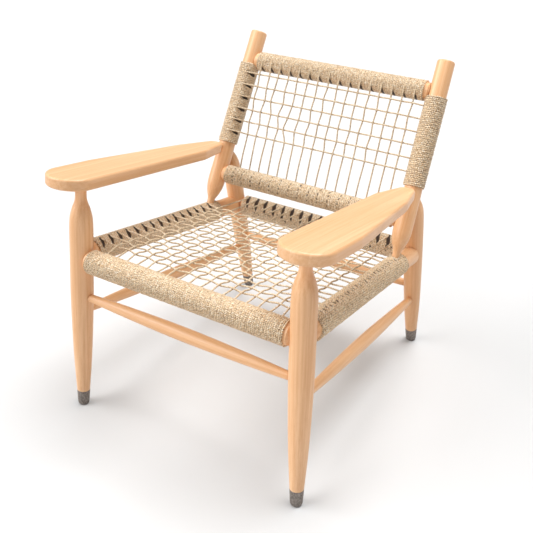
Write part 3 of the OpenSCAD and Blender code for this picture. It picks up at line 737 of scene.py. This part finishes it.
def partTurns(mesh, partings, spacing, outer, length, slitShade):
    co = np.empty(len(mesh.vertices) * 3)
    mesh.vertices.foreach_get("co", co)
    co = co.reshape(-1, 3)
    angle = np.degrees(np.arctan2(co[:, 1], co[:, 0]))
    radius = np.hypot(co[:, 0], co[:, 1])
    z = co[:, 2].copy()
    dark = np.zeros(len(z))
    sink = np.zeros(len(z))
    swell = np.zeros(len(z))
    push = np.zeros(len(z))
    for p in partings:
        t = (angle - p["from"] + 180) % 360 - 180
        t = t / (p["to"] - p["from"])
        inside = (t > 0) & (t < 1)
        shape = np.where(inside, np.sin(math.pi * np.clip(t, 0, 1) ** p["lean"]), 0)
        middle = p["at"] + p["slant"] * np.clip(t, 0, 1)
        off = z - middle
        gap = p["gap"] * shape
        near = np.exp(-(off / (gap + wrap["lip"])) ** 4) * (gap > 0)
        # painted shade: how dark each slit is painted, strongest in its middle
        dark = np.maximum(dark, near * np.clip(shape * 1.6, 0, 1) * slitShade)
        sink = np.maximum(sink, near * p["deep"] * np.clip(shape * 1.5, 0, 1))
        push += np.sign(off) * gap * np.exp(-np.abs(off) / wrap["pushed"]) * 0.5
        wide = np.where((t > -0.1) & (t < 1.4), np.sin(math.pi * np.clip((t + 0.1) / 1.5, 0, 1)), 0)
        beside = np.clip(off / spacing, -0.5, 0.5) * 2 * math.pi
        swell += p["swell"] * wide * np.cos(beside) * -0.5
    ends = np.clip(np.minimum(z, length - z) / 0.002, 0, 1)
    turned = np.radians(angle)
    # whole waves round the rail, so that each turn still meets the next
    sway = wrap["sway"] * np.sin(3 * turned + 9 * np.sin(83 * z))
    ripple = wrap["ripple"] * np.sin(7 * turned + 260 * z)
    z = z + ends * (sway + ripple)
    radius = radius - ends * wrap["dip"] * (1 + np.sin(5 * turned + 11 * np.sin(131 * z)))
    radius = radius + (np.maximum(swell, -wrap["drawnIn"]) - sink) * ends
    radius = np.minimum(radius, outer + wrap["proud"])
    z = z + push * ends
    flat = np.hypot(co[:, 0], co[:, 1])
    co[:, 0] *= radius / flat
    co[:, 1] *= radius / flat
    co[:, 2] = z
    mesh.vertices.foreach_set("co", co.ravel())
    mesh.update()
    # the painted shade of the slits, kept on the points for the cord material
    attribute = mesh.attributes.new("slitShade", "FLOAT", "POINT")
    attribute.data.foreach_set("value", (dark * ends).astype(np.float32))


# places of the weave, shared by the wraps and the cords
weave = {
    "warps": 17, "warpPitch": 0.028, "wefts": 15, "weftPitch": 0.0276, "weftStart": 0.092,
    "uprights": 16, "uprightPitch": 0.028, "levels": 6, "levelPitch": 0.0308, "levelDrop": 0.037,
    "frontEntry": math.radians(42), "rightEntry": math.radians(45), "lowEntry": math.radians(20),
    "wave": 0.0019,
    "stray": 0.0012,            # how far a crossing may lie out of line
    "backStray": 0.0015,
    "lead": 0.018,              # straight off the rail, before the first crossing
    "tuckIn": 0.003,            # past the rail's crown, or into the wrap
    "tuckDown": 0.0012,
}
entryR = chair["seatRailR"] + 1.6 * chair["cordR"]
rearLift = chair["seatRailR"] + chair["cordR"]
lowR = chair["backRailR"] + 1.6 * chair["cordR"]
topLift = chair["backRailR"] + chair["cordR"]


def warpX(i):
    return (i - (weave["warps"] - 1) / 2) * weave["warpPitch"]


def weftY(j):
    return frontFoot.y + weave["weftStart"] + j * weave["weftPitch"]


def uprightX(i):
    return (i - (weave["uprights"] - 1) / 2) * weave["uprightPitch"]


def levelAt(j):
    return topRailAt - weave["levelDrop"] - j * weave["levelPitch"]


def seatHeight(x, y):
    u = (x + sideAxis(1, y).x) / (2 * sideAxis(1, y).x)
    frontLift = entryR * math.cos(weave["frontEntry"]) - (railFront.z - chair["frontRailZ"])
    base = frontLift + (rearLift - frontLift) * railShare(y)
    return (base + (rearLift - base) * (1 - u) ** 3
            + (entryR * math.cos(weave["rightEntry"]) - base) * u ** 3)


def seatPoint(x, y, h):
    return Vector((x, y, sideAxis(1, y).z)) + seatUp * h


def webHeight(t):
    low = -lowR * math.sin(weave["lowEntry"])
    return low + (topLift - low) * (t - chair["lowRailAt"]) / (topRailAt - chair["lowRailAt"])


def webPoint(x, t, h):
    return Vector((x, postFoot.y, postFoot.z)) + postUp * t + postFront * h


def between(a, b, start, end):
    d = (b - a).normalized()
    return a + d * start, b - d * end


def addWrap(name, a, b, r, partings, spacing, front, slitShade=1.0):
    mesh = woundCord(name + "_turns", a, b, r, partings, spacing, front, slitShade)
    addPiece(name + "_turns", mesh, wrapCord, [name])


rnd = random.Random(5)
bare = chair["bareEnd"]
# angles start at seatUp or postFront and turn to the front on the front and rear rails, down on the
# two back rails, and to +X on the side rails and posts
a, b = between(frontAxis(-1, chair["frontRailZ"]), frontAxis(1, chair["frontRailZ"]),
               frontR + bare, frontR + bare)
partings = [parting(warpX(i) - a.x, -36, -52, 0.0011, 0.0018) for i in range(weave["warps"])]
addWrap("front_rail_wrap", a, b, chair["seatRailR"], partings, weave["warpPitch"], seatUp)

a, b = between(rearAxis(-1, chair["sideRailRearZ"]), rearAxis(1, chair["sideRailRearZ"]),
               rearR + bare, rearR + bare)
partings = []
for i in range(weave["warps"]):
    x = warpX(i) - a.x
    partings.append(parting(x + 0.001, -8, 98, 0.0034, 0.0044, slant=0.011, lean=0.9, swell=0.0014))
    for k in range(2):
        at = rnd.uniform(70, 100)
        partings.append(parting(x + rnd.uniform(-0.009, 0.009), at, at + 13, 0.0010, 0.0022))
addWrap("rear_rail_wrap", a, b, chair["seatRailR"], partings, weave["warpPitch"], seatUp)

for word, s in (("left", -1), ("right", 1)):
    start, end = sideAxis(s, railFront.y), sideAxis(s, railRear.y)
    foot = sideAxis(s, postFoot.y)
    a, b = between(start, end, frontR + bare, (end - foot).length - wrap["postClear"])
    partings = []
    for j in range(weave["wefts"]):
        at = (sideAxis(s, weftY(j)) - a).length
        if s < 0:
            partings.append(parting(at + 0.001, -12, 72, 0.0034, 0.0044, slant=-0.010, lean=1.25,
                                    swell=0.0014))
        else:
            partings.append(parting(at, -28, -62, 0.0015, 0.0030, slant=0.003))
            for side in (-1, 1):
                low = rnd.uniform(-6, 4)
                partings.append(parting(at + side * 0.006 + rnd.uniform(-0.001, 0.001), low, low + 27,
                                        0.0014, 0.0030, slant=side * 0.0045))
    addWrap(f"side_rail_wrap_{word}", a, b, chair["seatRailR"], partings, weave["weftPitch"], seatUp)

bareBack = chair["postR"] + chair["bareBackEnd"]
# the last number of each: how strongly shade is painted into that wrap's slits
for name, t, slitShade in (("top_rail_wrap", topRailAt, 1.0), ("lower_rail_wrap", chair["lowRailAt"], 0.8)):
    a, b = between(postAxis(-1, t), postAxis(1, t), bareBack, bareBack)
    partings = []
    for i in range(weave["uprights"]):
        x = uprightX(i) - a.x
        if name == "top_rail_wrap":
            partings.append(parting(x, 34, 125, 0.0023, 0.0040, slant=0.003, swell=0.0022))
        else:
            partings.append(parting(x, -112, -62, 0.0016, 0.0034, swell=0.0012))
            for k in range(4):
                low = -58 + 30 * k + rnd.uniform(-6, 6)
                partings.append(parting(x + rnd.uniform(-0.0012, 0.0012), low, low + 20, 0.0007, 0.0022))
    addWrap(name, a, b, chair["backRailR"], partings, weave["uprightPitch"], postFront, slitShade)

for word, s in (("left", -1), ("right", 1)):
    a, b = postAxis(s, wrapLow), postAxis(s, wrapHigh)
    partings = []
    for j in range(weave["levels"]):
        at = levelAt(j) - wrapLow
        if s < 0:
            partings.append(parting(at + 0.003, 8, 92, 0.0030, 0.0044, slant=-0.008, lean=1.3, swell=0.0016))
        else:
            partings.append(parting(at, -60, -100, 0.0014, 0.0026, swell=0.0008))
    addWrap(f"post_wrap_{word}", a, b, chair["postR"], partings, weave["levelPitch"], postFront)
print("wraps wound")

# the weave: each cord is three strands twisted together
cord = {
    "r": chair["cordR"],
    "lobe": 0.00042,
    "sides": 12,
    "step": 0.0022,
    "turnsPerMetre": 72.0,
    "grooveAt": 0.1667,         # a sixth of the way round, where the section is thinnest
}


def cordShape(bm, along, points, side, phase):
    rings = []
    walked = 0.0
    walkedAt = []
    for i, p in enumerate(points):
        t = (points[min(i + 1, len(points) - 1)] - points[max(i - 1, 0)]).normalized()
        up = t.cross(side).normalized()
        across = up.cross(t)
        walked += (p - points[i - 1]).length if i else 0.0
        spin = 2 * math.pi * walked * cord["turnsPerMetre"] + phase
        ring = []
        for k in range(cord["sides"]):
            around = 2 * math.pi * k / cord["sides"]
            r = cord["r"] - cord["lobe"] * (0.5 - 0.5 * math.cos(3 * around))
            out = math.cos(around + spin) * across + math.sin(around + spin) * up
            ring.append(bm.verts.new(p + r * out))
        rings.append(ring)
        walkedAt.append(walked)
    for i in range(len(rings) - 1):
        for k in range(cord["sides"]):
            n = (k + 1) % cord["sides"]
            face = bm.faces.new((rings[i][k], rings[i][n], rings[i + 1][n], rings[i + 1][k]))
            face.smooth = True
            for loop, (u, v) in zip(face.loops, ((i, k), (i, k + 1), (i + 1, k + 1), (i + 1, k))):
                loop[along].uv = (walkedAt[u] + phase, v / cord["sides"] + cord["grooveAt"])
    bm.faces.new(rings[0][::-1])
    bm.faces.new(rings[-1])


def evenly(points, step):  # walks a smooth line in equal steps
    line = smoothLine(points, 10)
    lengths = np.cumsum([0.0] + [(q - p).length for p, q in zip(line, line[1:])])
    count = max(int(lengths[-1] / step), 2)
    marks = np.linspace(0, lengths[-1], count)
    xyz = np.array([tuple(p) for p in line])
    return [Vector(v) for v in np.stack([np.interp(marks, lengths, xyz[:, k]) for k in range(3)], axis=1)]


def addCords(name, paths, side):
    bm = bmesh.new()
    along = bm.loops.layers.uv.new("along")
    total = 0.0
    for path in paths:
        points = evenly(path, cord["step"])
        total += sum((q - p).length for p, q in zip(points, points[1:]))
        cordShape(bm, along, points, side, rnd.uniform(0, 6))
    print(name, "metres of cord:", round(total, 2))
    bmesh.ops.recalc_face_normals(bm, faces=bm.faces)
    mesh = bpy.data.meshes.new(name + "_twisted")
    bm.to_mesh(mesh)
    bm.free()
    addPiece(name + "_twisted", mesh, weaveCord, [name])


def over(i, j):
    return weave["wave"] if (i + j) % 2 == 0 else -weave["wave"]


swayX = [[rnd.uniform(-weave["stray"], weave["stray"]) for j in range(weave["wefts"])]
         for i in range(weave["warps"])]
swayY = [[rnd.uniform(-weave["stray"], weave["stray"]) for i in range(weave["warps"])]
         for j in range(weave["wefts"])]


def crossing(i, j, h):
    x, y = warpX(i) + swayX[i][j], weftY(j) + swayY[j][i]
    return seatPoint(x, y, seatHeight(warpX(i), weftY(j)) + h)


warpPaths = []
for i in range(weave["warps"]):
    start = Vector((warpX(i), railRear.y, railRear.z)) + seatUp * rearLift
    line = [start + seatBack * 0.004 - seatUp * weave["tuckDown"], start, start - seatBack * weave["lead"]]
    line += [crossing(i, j, over(i, j)) for j in range(weave["wefts"] - 1, -1, -1)]
    rail = frontAxis(1, chair["frontRailZ"])
    end = (Vector((warpX(i), rail.y, rail.z)) + entryR * (math.cos(weave["frontEntry"]) * seatUp
                                                         + math.sin(weave["frontEntry"]) * seatBack))
    warpPaths.append(line + [end, end - seatBack * weave["tuckIn"]])
addCords("seat_warp_cords", warpPaths, Vector((1, 0, 0)))

weftPaths = []
for j in range(weave["wefts"]):
    start = sideAxis(-1, weftY(j)) + seatUp * rearLift
    line = [start - Vector((weave["tuckIn"], 0, 0)) - seatUp * weave["tuckDown"], start,
            start + Vector((weave["lead"], 0, 0))]
    line += [crossing(i, j, -over(i, j)) for i in range(weave["warps"])]
    end = (sideAxis(1, weftY(j)) + entryR * (math.cos(weave["rightEntry"]) * seatUp
                                            + math.sin(weave["rightEntry"]) * Vector((-1, 0, 0))))
    weftPaths.append(line + [end, end + Vector((weave["tuckIn"], 0, 0))])
addCords("seat_weft_cords", weftPaths, seatBack)


def webCrossing(i, j, h):
    return webPoint(uprightX(i) + bend[i][j], levelAt(j), webHeight(levelAt(j)) + h)


bend = [[rnd.uniform(-weave["backStray"], weave["backStray"]) for j in range(weave["levels"])]
        for i in range(weave["uprights"])]
for i, j, off in ((2, 1, -0.004), (2, 2, -0.006), (3, 3, -0.005), (4, 3, -0.006), (4, 4, -0.008),
                  (5, 4, -0.005)):
    bend[i][j] += off           # a few uprights hang out of line
uprightPaths = []
for i in range(weave["uprights"]):
    x = uprightX(i)
    line = [webPoint(x, topRailAt + weave["tuckIn"], topLift - 0.0008), webPoint(x, topRailAt, topLift),
            webPoint(x, topRailAt - weave["lead"], topLift)]
    line += [webCrossing(i, j, over(i, j)) for j in range(weave["levels"])]
    low = chair["lowRailAt"]
    line += [webPoint(x + bend[i][-1] * 0.5, low + 0.060, webHeight(low + 0.060)),
             webPoint(x, low + lowR * math.cos(weave["lowEntry"]), webHeight(low))]
    uprightPaths.append(line)
addCords("back_upright_cords", uprightPaths, Vector((1, 0, 0)))

levelPaths = []
for j in range(weave["levels"]):
    start = postAxis(-1, levelAt(j)) + postFront * (chair["postR"] + chair["cordR"] + 0.0001)
    line = [start, start + Vector((0.017, 0, 0))]
    line += [webCrossing(i, j, -over(i, j)) for i in range(weave["uprights"])]
    h = webHeight(levelAt(j)) * 0.6
    reach = chair["postR"] + 0.0032
    line += [postAxis(1, levelAt(j)) + postFront * h - Vector((math.sqrt(reach ** 2 - h ** 2), 0, 0))]
    levelPaths.append(line)
addCords("back_level_cords", levelPaths, postUp)
print("weave laid")

# pieces kept from the frame, each with its grain along its length
alongX = (0, math.radians(-90), 0)
alongY = (math.radians(90), 0, 0)
kept = {
    "front_seat_rail": alongX, "rear_seat_rail": alongX, "top_back_rail": alongX, "lower_back_rail": alongX,
    "side_seat_rail_left": alongY, "side_seat_rail_right": alongY, "arm_dowel_left": alongY,
    "arm_dowel_right": alongY, "post_dowel_left": alongY, "post_dowel_right": alongY,
}
for number, (name, rotation) in enumerate(kept.items()):
    material = woodMaterial(name + " wood", rotation, shift=(0.013 * number, 0.02 * number, 0.4 * number))
    for slot in frame["nodes"][name].material_slots:
        slot.material = material
for name in ("seat_cord_tacks", "back_cord_tacks"):
    for slot in frame["nodes"][name].material_slots:
        slot.material = tackMetal

# floor, light and camera
studio = {
    "floor": (0.645, 0.645, 0.645, 1),
    "bounce": (0.6, 0.58, 0.57, 1),
    "sky": 0.3,
    "key": 3.2,
    "keySoft": 42.0,
    "keyFrom": (0.25, 0.55, 2.2),
    "fill": 2.45,
    "fillSoft": 50.0,
    "fillFrom": (-1.6, -1.2, 1.3),
}
floorMesh = bpy.data.meshes.new("studio_floor")
bm = bmesh.new()
bmesh.ops.create_grid(bm, x_segments=1, y_segments=1, size=14)
bm.to_mesh(floorMesh)
bm.free()
floor = bpy.data.objects.new("studio_floor", floorMesh)
bpy.context.scene.collection.objects.link(floor)
paper, tree, shader = newMaterial("studio paper", 0.9, 0.0)
seen = tree.nodes.new("ShaderNodeLightPath")    # the paper throws back less light than it shows
paperColor = mixColor(tree, seen.outputs["Is Camera Ray"], studio["bounce"], studio["floor"])
link(tree, paperColor, shader.inputs["Base Color"])
floorMesh.materials.append(paper)

world = bpy.data.worlds.new("studio")
bpy.context.scene.world = world
world.use_nodes = True
world.node_tree.nodes["Background"].inputs["Color"].default_value = (1, 1, 1, 1)
seen = world.node_tree.nodes.new("ShaderNodeLightPath")
link(world.node_tree, mapRange(world.node_tree, seen.outputs["Is Camera Ray"], 0, 1, studio["sky"], 1.0),
     world.node_tree.nodes["Background"].inputs["Strength"])


def softSun(name, place, power, soft):
    lamp = bpy.data.lights.new(name, "SUN")
    lamp.angle = math.radians(soft)
    lamp.energy = power
    sun = bpy.data.objects.new(name, lamp)
    sun.rotation_euler = (-Vector(place)).to_track_quat("-Z", "Y").to_euler()
    bpy.context.scene.collection.objects.link(sun)


softSun("key", studio["keyFrom"], studio["key"], studio["keySoft"])
softSun("fill", studio["fillFrom"], studio["fill"], studio["fillSoft"])

view = {
    "place": (0.8619, frontFoot.y - 0.9981, 1.2417),
    "right": (0.8438, 0.5367, 0.0),
    "forward": (-0.4631, 0.7279, -0.5056),
    "lens": 52.48,
    "sensor": 36,
}
lens = bpy.data.cameras.new("camera")
lens.lens = view["lens"]
lens.sensor_width = view["sensor"]
camera = bpy.data.objects.new("camera", lens)
x = Vector(view["right"]).normalized()
z = -Vector(view["forward"]).normalized()
camera.matrix_world = Matrix.Translation(view["place"]) @ Matrix((x, z.cross(x), z)).transposed().to_4x4()
bpy.context.scene.collection.objects.link(camera)
bpy.context.scene.camera = camera
bpy.context.scene.view_settings.view_transform = "Standard"
